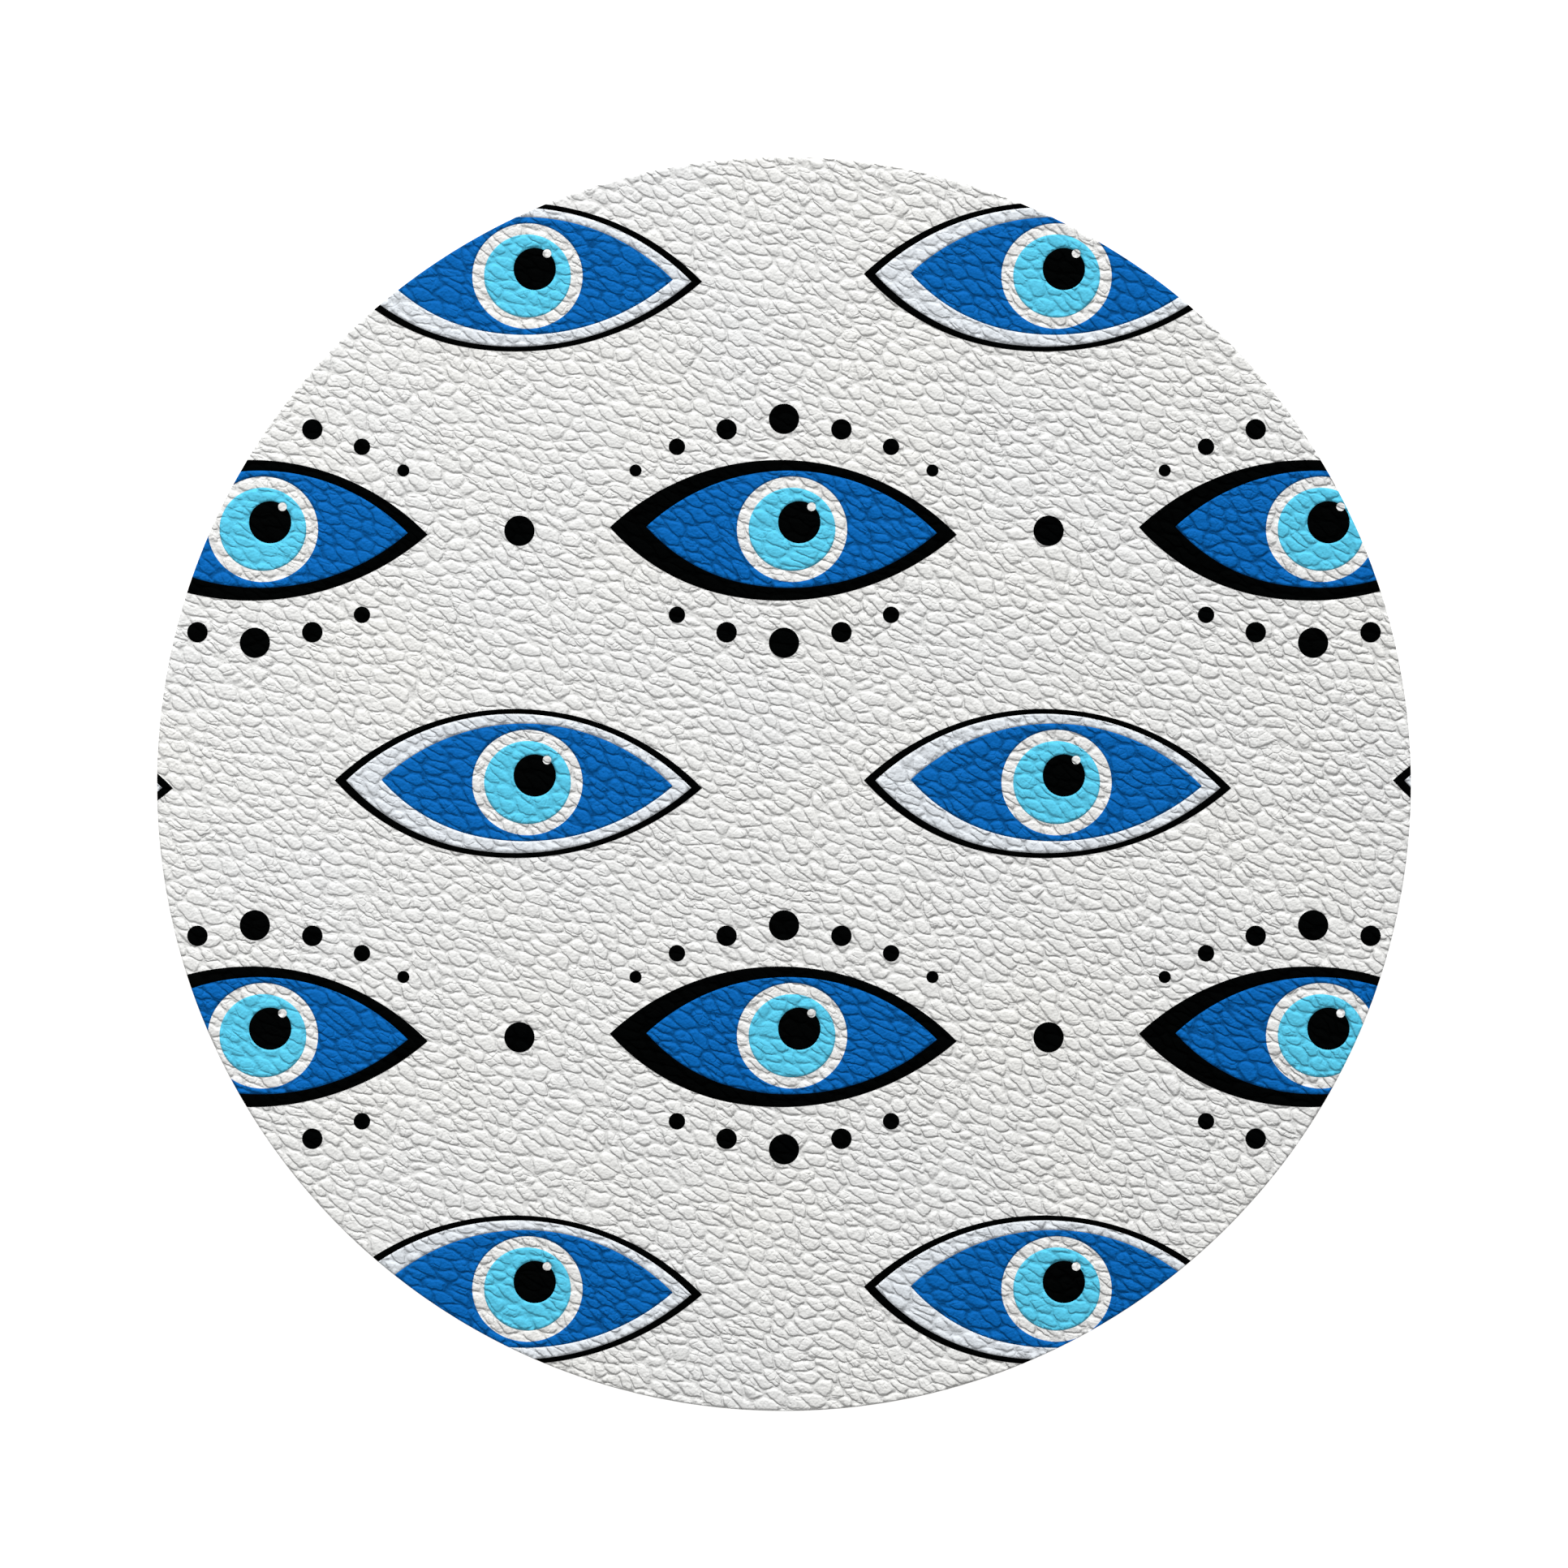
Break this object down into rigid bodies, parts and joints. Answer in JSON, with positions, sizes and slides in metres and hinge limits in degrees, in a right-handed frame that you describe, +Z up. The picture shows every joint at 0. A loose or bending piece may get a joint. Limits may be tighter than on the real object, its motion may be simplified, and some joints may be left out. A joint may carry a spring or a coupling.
{
  "type": "evil eye ornament",
  "caption": "Flat round disc faced with pebble-grained leatherette and printed with blue and black eye motifs, on a rigid cork-backed board.",
  "frame": {"origin": "centre of the round underside, which is the face the ornament rests on", "axes": "+Z up through the printed face, +Y towards the top of the print, +X towards its right"},
  "size_m": [0.1, 0.1, 0.0047],
  "materials": {
    "cork": "raw agglomerated cork granules",
    "adhesive": "translucent film with a slight amber tint",
    "fibreboard": "raw cut edge of medium-density fibreboard",
    "backing_cloth": "brushed knit",
    "foam": "fine closed-cell foam",
    "leatherette": "satin, irregular pebble grain",
    "ink_black": "satin print over the grain",
    "ink_deep_blue": "satin print over the grain",
    "ink_light_blue": "satin print over the grain",
    "ink_pale_blue": "satin tint over the grain"
  },
  "bodies": {
    "root": {"cork_base": "cork", "base_adhesive": "adhesive", "core_board": "fibreboard", "face_adhesive": "adhesive", "backing_cloth": "backing_cloth", "foam_layer": "foam", "face_skin": "leatherette", "ink_bold_lids": "ink_black", "ink_fine_lids": "ink_black", "ink_pale_sclera": "ink_pale_blue", "ink_eye_blue": "ink_deep_blue", "ink_iris_blue": "ink_light_blue", "ink_pupils": "ink_black", "ink_lash_dots": "ink_black", "ink_spacer_dots": "ink_black"}
  },
  "joints": []
}
